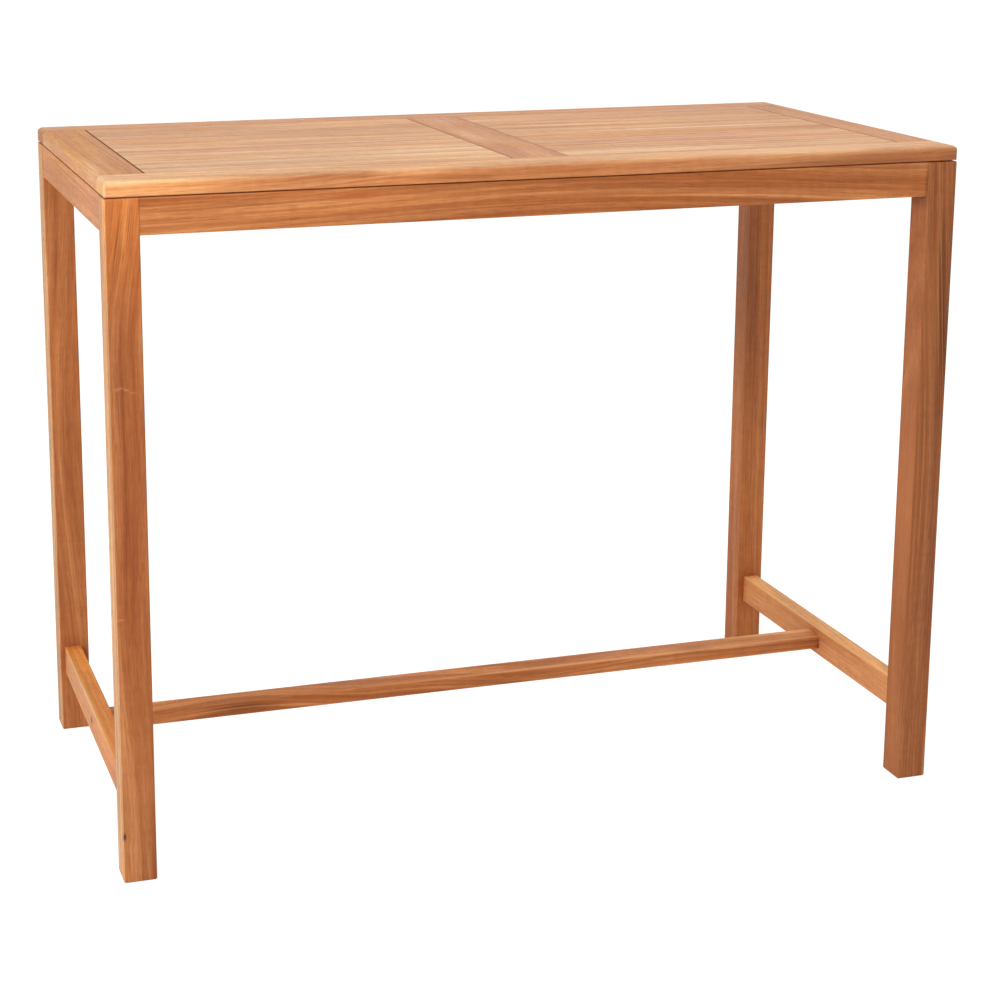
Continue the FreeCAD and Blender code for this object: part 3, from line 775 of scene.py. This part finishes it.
def finish_legs():
    """Four legs, with the marks of these boards: a pin knot, streaks and swinging grain.
    Painted light pales some left faces, painted highlights run along arrises under the top, and
    painted shade lies under the aprons and round the stretchers' ends on the back legs.
    """
    knot = spot(-697.3, front_face, 78)
    dress(
        "leg_front_left",
        "z",
        0.6,
        cut=(60, 90),
        contrast=0.9,
        streaks=0.15,
        rings=7.0,
        ring_strength=0.9,
        # Painted light: the left face is paler where the light falls on it
        faded=(("left", 0.8, LIT_SIDE_GOLD),),
        bends=(
            (spot(-670, front_face, 1130), spot(400, 400, 300), spot(34, 0, 0)),
            (spot(-674, front_face, 420), spot(300, 300, 300), spot(-8, 0, 0)),
            (knot, spot(14, 20, 26), spot(5, 0, 0)),
        ),
        glazes=(
            (spot(-674, front_face, 600), spot(60, 40, 420), 0.6, display(154, 79, 36)),
            (spot(-674, front_face, 1060), spot(120, 30, 220), 1.0, display(214, 126, 62)),
        ),
        patches=(
            (spot(-699, front_face, 560), spot(3, 4, 600), 0.5, display(164, 91, 40)),
            # Painted highlights: pale lines where the arris under the top and the arris by the
            # apron catch the light
            (spot(-674, front_face, under_gap), spot(60, 4, 2.4), 0.7, PALE_WOOD["pale"]),
            (spot(-648, front_face, 1040), spot(3, 4, 40), 0.5, PALE_WOOD["pale"]),
            (spot(-690, front_face, 789), spot(8, 6, 3.2), 0.3, PALE_WOOD["pale"]),
            (spot(-683, front_face, 791), spot(9, 6, 2.8), 0.3, PALE_WOOD["pale"]),
            (spot(-675, front_face, 788), spot(6, 6, 2.2), 0.5, PALE_WOOD["pale"]),
            (spot(-665, front_face, 783), spot(8, 6, 2.6), 0.25, PALE_WOOD["pale"]),
            (spot(-680, front_face, 783), spot(12, 6, 4), 0.3, DEEP_WOOD["deep"]),
            (spot(-695, front_face, 424), spot(7, 6, 7), 0.5, DEEP_WOOD["body"]),
            (spot(-692, front_face, 431), spot(8, 6, 2.0), 0.4, PALE_WOOD["pale"]),
            (knot, spot(5, 6, 13), 0.5, DEEP_WOOD["deep"]),
            (knot, spot(3.4, 4, 9), 1.0, KNOT_SHADE),
        ),
        lines=(
            (spot(-684, front_face, 1000), spot(16, 30, 150), 0.8, DEEP_WOOD["deep"]),
            (spot(-664, front_face, 1020), spot(12, 30, 90), 0.8, DEEP_WOOD["deep"]),
            (spot(-668, front_face, 220), spot(30, 30, 260), 0.3, DEEP_WOOD["body"]),
        ),
    )
    dress(
        "leg_front_right",
        "z",
        0.76,
        bleached=0.02,
        cut=(200, 90),
        streaks=0.35,
        bends=((spot(674, front_face, 1260), spot(800, 800, 760), spot(-44, 0, 0)),),
        glazes=((spot(674, front_face, 480), spot(80, 60, 460), 0.4, display(144, 82, 47)),),
        patches=(
            (spot(676, front_face, 820), spot(12, 16, 260), 0.35, display(190, 122, 66)),
            (spot(700, front_face, 820), spot(12, 20, 300), 0.4, DEEP_WOOD["streak"]),
            (spot(668, front_face, 860), spot(5, 20, 150), 0.3, PALE_WOOD["deep"]),
            # Painted highlight along the arris under the top
            (spot(674, front_face, under_gap), spot(60, 4, 2.4), 0.5, PALE_WOOD["deep"]),
            # Painted light paling the left face
            (spot(640, -320, 500), spot(26, 90, 700), 0.6, PALE_WOOD["body"]),
            # Painted shadow on the left face just under the apron
            (spot(648, -324, 1018), spot(8, 60, 34), 0.6, DEEP_WOOD["streak"]),
        ),
        lines=(
            (spot(692, front_face, 780), spot(18, 16, 320), 1.0, DEEP_WOOD["streak"]),
            (spot(682, front_face, 880), spot(18, 16, 220), 0.75, DEEP_WOOD["streak"]),
            (spot(662, front_face, 980), spot(18, 16, 130), 0.6, DEEP_WOOD["deep"]),
        ),
    )
    dress(
        "leg_back_left",
        "z",
        0.46,
        cut=(40, 120),
        contrast=0.35,
        streaks=0.15,
        rings=7.0,
        # Painted light: the left face is paler where the light falls on it
        faded=(("left", 0.75, display(208, 158, 108)),),
        bends=((spot(-674, back_leg_face, 560), spot(400, 400, 520), spot(-26, 0, 0)),),
        # Painted shade round the end stretcher's back end
        glazes=((spot(-676, back_leg_face, 134), spot(46, 24, 58), 0.7, PAINTED_CONTACT_SHADE),),
        lines=((spot(-684, back_leg_face, 860), spot(14, 30, 160), 0.6, DEEP_WOOD["deep"]),),
    )
    dress(
        "leg_back_right",
        "z",
        0.42,
        cut=(20, 110),
        contrast=0.4,
        streaks=0.15,
        glazes=(
            # Painted shadow of the apron and top on the upper left face
            (spot(648, 324, 740), spot(60, 150, 440), 0.65, display(128, 73, 43)),
            (spot(680, back_leg_face, 640), spot(50, 20, 240), 0.25, display(150, 88, 54)),
            # Painted shade round the end stretcher's back end
            (spot(676, back_leg_face, 134), spot(46, 24, 58), 0.7, PAINTED_CONTACT_SHADE),
            (spot(672, back_leg_face, 40), spot(9, 20, 90), 0.5, display(206, 124, 56)),
        ),
    )


def finish_aprons():
    """The four boards under the top. The grain of the front one arches from end to end. The front
    one has a painted highlight along its upper arris and painted shade where it meets the right
    leg.
    """
    dress(
        "apron_front",
        "x",
        0.28,
        cut=(330, 110),
        contrast=0.9,
        streaks=0.2,
        rings=6.0,
        ring_strength=0.7,
        bends=((spot(60, apron_face, 1046), spot(900, 900, 900), spot(0, 0, 34)),),
        patches=(
            (spot(-320, apron_face, 1062), spot(70, 20, 9), 0.35, display(188, 84, 40)),
            (spot(-560, apron_face, 1024), spot(160, 20, 14), 0.25, PALE_WOOD["pale"]),
            # Painted highlight along the arris under the top
            (spot(-560, apron_face, 1073), spot(240, 4, 2.4), 0.5, PALE_WOOD["pale"]),
            # Painted shade in the joint with the right front leg
            (spot(648, apron_face, 1040), spot(7, 4, 60), 0.5, DEEP_WOOD["streak"]),
        ),
        glazes=(
            (spot(-640, apron_face, 1046), spot(260, 20, 90), 0.3, display(186, 104, 48)),
            (spot(600, apron_face, 1064), spot(240, 20, 24), 0.35, DEEP_WOOD["body"]),
        ),
        lines=(
            (spot(-320, apron_face, 1066), spot(120, 20, 10), 0.5, display(170, 76, 36)),
            (spot(240, apron_face, 1050), spot(260, 20, 18), 0.35, DEEP_WOOD["deep"]),
        ),
    )
    dress("apron_back", "x", 0.4)
    dress(
        "apron_left",
        "y",
        0.1,
        bleached=0.2,
        cut=(310, 130),
        contrast=0.3,
        streaks=0.1,
        ring_strength=0.2,
        glazes=((spot(-699, 90, 1046), spot(40, 330, 120), 0.8, display(180, 116, 64)),),
    )
    dress("apron_right", "y", 0.4)


def finish_top():
    """The rails, end boards and centre board of the top. Painted sheen pales the rails' upper
    faces, and painted light pales the left ends of the front rail and the left end board.
    """
    dress(
        "top_rail_front",
        "x",
        0.04,
        bleached=0.08,
        cut=(250, 130),
        contrast=0.9,
        streaks=0.25,
        rings=6.0,
        joints=(0.0, 0.3),
        # Painted sheen pales the upper face, and painted light pales the left end
        faded=(("top", 0.6, display(216, 172, 122)), ("left", 0.5, display(222, 176, 122))),
        bends=((spot(-240, front_face, 1088), spot(200, 300, 300), spot(0, 0, 7)),),
        glazes=(
            (spot(-620, front_face, 1086), spot(340, 16, 26), 0.9, display(236, 164, 102)),
            (spot(560, front_face, 1084), spot(360, 16, 22), 0.3, display(170, 100, 56)),
        ),
        patches=(
            (spot(-700, -316, 1088), spot(12, 60, 30), 0.75, display(214, 166, 110)),
            (spot(-694, -310, 1094), spot(20, 34, 14), 0.5, CREAM),
            stripe(-270, -308, 140, 26, 0.4, TAN),
            stripe(420, -316, 400, 44, 0.6, CREAM),
            (spot(-165, front_face, 1083), spot(90, 12, 9), 0.4, PALE_WOOD["deep"]),
            (spot(560, -352, 1080), spot(420, 12, 18), 0.5, DEEP_WOOD["body"]),
            (spot(700, front_face, 1084), spot(50, 20, 16), 0.5, DEEP_WOOD["body"]),
            (spot(0, front_face, 1084), spot(1.3, 6, 8), 0.3, DEEP_WOOD["body"]),
            (spot(8, front_face, 1085), spot(1.3, 6, 7), 0.25, DEEP_WOOD["body"]),
        ),
        lines=(
            (spot(-290, front_face, 1090), spot(70, 12, 5), 0.6, PALE_WOOD["streak"]),
            (spot(-160, front_face, 1084), spot(120, 12, 9), 0.4, PALE_WOOD["streak"]),
            (spot(420, front_face, 1082), spot(260, 12, 9), 0.4, DEEP_WOOD["deep"]),
        ),
    )
    dress(
        "top_rail_back",
        "x",
        0.36,
        bleached=0.2,
        contrast=0.6,
        streaks=0.12,
        joints=(0.0, 0.3),
        # Painted sheen pales the upper face a little, and the left end is greyer
        faded=(("top", 0.15, STRAW), ("left", 0.35, GREY_SHADE)),
    )
    soft_figure = {"contrast": 0.35, "streaks": 0.1, "ring_strength": 0.2}
    dress(
        "top_end_board_left",
        "y",
        0.24,
        bleached=0.03,
        joints=(0.85, 0.3),
        # The upper face takes a deeper colour, and painted light pales the left face
        faded=(("top", 1.0, display(194, 127, 61)), ("left", 0.4, LIT_SIDE_GOLD)),
        glazes=(
            (spot(-700, 180, 1086), spot(12, 220, 40), 0.6, display(176, 112, 62)),
            (spot(-672, -130, top_level), spot(14, 120, 20), 0.4, ROSE),
        ),
        patches=((spot(-698, -240, 1092), spot(14, 70, 16), 0.35, CREAM),),
        lines=(
            (spot(-692, -190, 1097), spot(16, 130, 12), 0.45, display(238, 204, 168)),
            (spot(-650, -60, top_level), spot(30, 160, 12), 0.25, display(228, 184, 140)),
            (spot(-684, 40, top_level), spot(12, 120, 12), 0.4, TAN),
        ),
        **soft_figure,
    )
    dress(
        "top_end_board_right",
        "y",
        0.46,
        bleached=0.27,
        joints=(0.8, 0.3),
        glazes=((spot(664, 240, top_level), spot(60, 120, 40), 0.6, display(164, 116, 70)),),
        **soft_figure,
    )
    dress(
        "top_centre_board",
        "y",
        0.48,
        bleached=0.24,
        joints=(0.5, 0.3),
        glazes=(
            stripe(-6, -150, 50, 90, 0.6, TAN),
            stripe(10, -250, 60, 70, 0.15, TAN),
            stripe(-20, 0, 26, 150, 0.25, CREAM),
            stripe(20, 130, 36, 90, 0.45, TAN),
            stripe(-10, 250, 50, 120, 0.2, CREAM),
        ),
        **soft_figure,
    )


def finish_slats():
    """The slats of both panels, with the pale, tan and rosy stripes of single ones."""
    stripes = {
        "slat_left_01": (stripe(-560, -250, 110, 20, 0.6, CREAM),),
        "slat_left_02": (
            stripe(-160, -186, 150, 12, 0.6, CREAM),
            stripe(-460, -204, 220, 26, 0.5, CREAM),
        ),
        "slat_left_03": (
            stripe(-520, -150, 130, 14, 0.6, TAN),
            stripe(-190, -150, 180, 12, 0.6, CREAM),
        ),
        "slat_left_04": (
            stripe(-100, -110, 110, 14, 0.4, CREAM),
            stripe(-560, -100, 110, 26, 0.5, TAN),
        ),
        "slat_left_05": (
            stripe(-170, -72, 200, 8, 0.6, TAN),
            stripe(-480, -45, 260, 30, 0.6, ROSE),
        ),
        "slat_left_06": (stripe(-420, 0, 260, 30, 0.4, ROSE),),
        "slat_left_07": (
            stripe(-520, 56, 180, 20, 0.7, TAN),
            stripe(-170, 66, 220, 12, 0.6, TAN),
        ),
        "slat_left_08": (stripe(-570, 102, 120, 26, 0.6, TAN),),
        "slat_left_11": (stripe(-450, 244, 140, 18, 0.68, TAN),),
        "slat_right_01": (stripe(150, -256, 300, 22, 0.6, CREAM),),
        "slat_right_02": (
            stripe(180, -222, 160, 12, 0.7, CREAM),
            stripe(560, -222, 90, 10, 0.6, CREAM),
        ),
        "slat_right_03": (
            stripe(110, -160, 110, 14, 0.75, TAN),
            stripe(420, -150, 330, 34, 0.8, ROSE),
        ),
        "slat_right_04": (
            stripe(420, -110, 260, 12, 0.37, TAN),
            stripe(300, -95, 400, 30, 0.7, ROSE),
        ),
        "slat_right_05": (stripe(330, -50, 440, 22, 0.75, TAN),),
        "slat_right_06": (stripe(400, 14, 340, 16, 0.7, CREAM),),
        "slat_right_07": (stripe(250, 66, 300, 12, 0.52, TAN),),
        "slat_right_08": (stripe(180, 108, 240, 14, 0.65, CREAM),),
        "slat_right_09": (stripe(150, 138, 160, 12, 0.75, TAN),),
        "slat_right_10": (stripe(330, 206, 330, 30, 0.5, ROSE),),
    }
    draw = random.Random("slats")
    for side, tones in SLAT_TONES.items():
        for number, tone in enumerate(tones, start=1):
            node_name = f"slat_{side}_{number:02d}"
            dress(
                node_name,
                "x",
                tone,
                bleached=slat_straw - slat_straw_lost * tone,
                contrast=draw.uniform(*slat_contrast),
                streaks=draw.uniform(*slat_streaks),
                ring_strength=draw.uniform(*slat_ring_strength),
                joints=(SLAT_END_SHADES[side], slat_side_shade),
                glazes=stripes.get(node_name, ()),
            )


def finish_stretchers():
    """The low rails and the plugs over their screws. Painted light pales the rails' upper faces,
    painted highlights run along their upper arrises, and painted shade lies where they meet the
    legs and each other.
    """
    dress(
        "end_stretcher_left",
        "y",
        0.0,
        bleached=0.1,
        contrast=0.25,
        streaks=0.0,
        ring_strength=0.1,
        # Painted light on the upper face
        faded=(("top", 0.9, display(236, 150, 70)),),
        glazes=(
            (spot(-691, 220, 133), spot(12, 300, 60), 0.6, display(214, 152, 92)),
            # Painted shade on the outer face next to the front leg
            (spot(-691, -250, 133), spot(12, 110, 60), 0.6, display(186, 112, 62)),
        ),
        patches=(
            # Painted highlight along the upper arris
            (spot(-691, 20, stretcher_top), spot(8, 330, 12), 0.6, display(240, 190, 130)),
            # Painted shade by the back leg
            (spot(-676, 296, 150), spot(40, 26, 30), 0.5, display(190, 96, 40)),
            (spot(-672, 80, stretcher_top), spot(7, 60, 12), 0.4, AMBER),
            (spot(-666, -60, stretcher_top), spot(9, 80, 12), 0.45, display(206, 112, 46)),
            (spot(-680, -170, stretcher_top), spot(6, 60, 12), 0.4, AMBER),
            (spot(-691, 0, 133.5), spot(5, 24, 11), 0.6, DEEP_WOOD["deep"]),
        ),
    )
    dress(
        "end_stretcher_right",
        "y",
        0.0,
        bleached=0.14,
        contrast=0.25,
        streaks=0.0,
        ring_strength=0.1,
        # Painted light on the upper face
        faded=(("top", 1.0, display(246, 182, 118)),),
        glazes=((spot(662, 190, 133), spot(12, 190, 60), 0.7, display(220, 147, 84)),),
        patches=(
            # Painted highlight along the upper arris
            (spot(662, 60, stretcher_top), spot(5, 330, 5), 0.6, display(240, 186, 124)),
            # Painted shade by the back leg
            (spot(676, 296, 150), spot(40, 22, 24), 0.5, display(190, 100, 44)),
            (spot(680, 200, stretcher_top), spot(5, 90, 8), 0.35, display(206, 124, 62)),
            # Painted shade round the long stretcher's end
            (spot(662, 0, 142), spot(8, 46, 28), 0.5, display(150, 84, 44)),
        ),
    )
    dress(
        "long_stretcher",
        "x",
        0.26,
        cut=(320, 100),
        contrast=0.9,
        streaks=0.3,
        # Painted light on the upper face
        faded=(("top", 0.5, display(226, 146, 80)),),
        bends=(
            (spot(-430, stretcher_face, 133), spot(240, 300, 300), spot(0, 0, 16)),
            (spot(120, stretcher_face, 133), spot(260, 300, 300), spot(0, 0, -14)),
        ),
        glazes=(
            # Painted light paling the upper face
            (spot(480, 6, 152), spot(520, 60, 18), 1.0, display(232, 160, 104)),
            (spot(540, stretcher_face, 130), spot(280, 20, 30), 0.5, display(190, 118, 68)),
        ),
        patches=(
            # Painted highlight along the front upper arris
            (spot(260, -21, 146), spot(620, 8, 4), 0.8, display(252, 184, 130)),
            (spot(-430, stretcher_face, 134), spot(90, 60, 20), 0.4, DEEP_WOOD["deep"]),
            (spot(80, stretcher_face, 134), spot(130, 60, 18), 0.2, DEEP_WOOD["deep"]),
            (spot(410, -14, 145), spot(60, 30, 10), 0.3, DEEP_WOOD["deep"]),
            # Painted shade at the joint with the right end stretcher
            (spot(662, stretcher_face, 128), spot(14, 30, 18), 0.6, DEEP_WOOD["deep"]),
            (spot(662, stretcher_face, 124), spot(7, 30, 9), 0.8, DEEP_WOOD["streak"]),
        ),
        lines=(
            (spot(-440, stretcher_face, 136), spot(130, 20, 16), 0.7, DEEP_WOOD["streak"]),
            (spot(60, stretcher_face, 130), spot(200, 20, 14), 0.5, DEEP_WOOD["streak"]),
            (spot(500, 6, 146), spot(160, 14, 6), 0.4, DEEP_WOOD["deep"]),
        ),
    )
    dress("stretcher_plugs", "z", 1.0, streaks=0.2, faded=(("left", 1.0, display(112, 54, 28)),))


def finish_underside():
    """The bearer and cleats under the top, and the screws."""
    dress("centre_bearer", "y", 0.45)
    for node_name in sorted(nodes):
        if node_name.startswith("cleat_"):
            dress(node_name, "y" if node_name in ("cleat_left", "cleat_right") else "x", 0.4)
    steel = brushed_screw()
    finish_node("top_screws", steel)
    finish_node("stretcher_screws", steel)


def seen_directly(sheet):
    """1 for rays from the camera, in reflections and through glass, and 0 for rays of light."""
    path = sheet.node("ShaderNodeLightPath").outputs
    seen = sheet.maths("MAXIMUM", path["Is Camera Ray"], path["Is Glossy Ray"])
    return sheet.maths("MAXIMUM", seen, path["Is Transmission Ray"])


def either_shader(sheet, share, first, second):
    """A mix of two shaders, with the second one where the share is 1."""
    mixed = sheet.node("ShaderNodeMixShader")
    for socket, value in zip(mixed.inputs, (share, first.outputs[0], second.outputs[0])):
        sheet.feed(socket, value)
    return mixed


def put_in_scene(name, data):
    """An object in the scene that holds a mesh, a lamp or a camera."""
    holder = bpy.data.objects.new(name, data)
    bpy.context.scene.collection.objects.link(holder)
    return holder


def lay_floor():
    """A white floor that glows to the camera and still takes the table's soft shadow.

    It is clear from below.
    """
    half = floor_size / 2
    corners = [(x * half, y * half, -floor_drop) for x, y in ((-1, -1), (1, -1), (1, 1), (-1, 1))]
    mesh = bpy.data.meshes.new("floor")
    mesh.from_pydata(corners, [], [(0, 1, 2, 3)])
    floor = put_in_scene("floor", mesh)
    material = bpy.data.materials.new("white_floor")
    sheet = cleared(material)
    matt = sheet.node("ShaderNodeBsdfDiffuse")
    matt.inputs["Color"].default_value = floor_white
    dim = sheet.node("ShaderNodeBsdfDiffuse")
    dim.inputs["Color"].default_value = (floor_shadow_share,) * 3 + (1.0,)
    glow = sheet.node("ShaderNodeEmission")
    glow.inputs["Strength"].default_value = floor_glow
    shown = sheet.node("ShaderNodeAddShader")
    sheet.feed(shown.inputs[0], dim.outputs[0])
    sheet.feed(shown.inputs[1], glow.outputs[0])
    from_above = either_shader(sheet, seen_directly(sheet), matt, shown)
    clear = sheet.node("ShaderNodeBsdfTransparent")
    below = sheet.node("ShaderNodeNewGeometry").outputs["Backfacing"]
    leave = sheet.node("ShaderNodeOutputMaterial")
    surface = either_shader(sheet, below, from_above, clear)
    sheet.feed(leave.inputs["Surface"], surface.outputs[0])
    mesh.materials.append(material)


def light_studio():
    """A white surround that lights softly, and lamps at the front left, above and at the sides."""
    world = bpy.data.worlds.new("studio")
    sheet = cleared(world)
    background = sheet.node("ShaderNodeBackground")
    background.inputs["Color"].default_value = (1.0, 1.0, 1.0, 1.0)
    strength = sheet.ramp(seen_directly(sheet), 0.0, 1.0, sky_strength, background_strength)
    sheet.feed(background.inputs["Strength"], strength)
    leave = sheet.node("ShaderNodeOutputWorld")
    sheet.feed(leave.inputs["Surface"], background.outputs[0])
    bpy.context.scene.world = world
    for name, lamp in LAMPS.items():
        add_lamp(name, **lamp)


def add_lamp(name, place, power, width):
    """A square area lamp at a place, turned to the table."""
    lamp = bpy.data.lights.new(name, "AREA")
    lamp.energy = power
    lamp.size = width
    holder = put_in_scene(name, lamp)
    holder.location = place
    holder.rotation_euler = (lamp_aim - place).to_track_quat("-Z", "Y").to_euler()


def place_camera():
    """The camera at the photograph's viewing angle."""
    camera = bpy.data.cameras.new("camera")
    camera.lens = camera_lens
    camera.sensor_width = camera_sensor
    camera.shift_x, camera.shift_y = camera_shift
    camera.dof.use_dof = False
    camera.clip_end = camera_sees_to
    holder = put_in_scene("camera", camera)
    holder.location = camera_place
    holder.rotation_euler = (math.radians(90 + camera_pitch), 0.0, -math.radians(camera_turn))
    bpy.context.scene.camera = holder


place_camera()
light_studio()
lay_floor()
finish_legs()
finish_aprons()
finish_top()
finish_slats()
finish_stretchers()
finish_underside()
bpy.context.scene.view_settings.view_transform = "Standard"
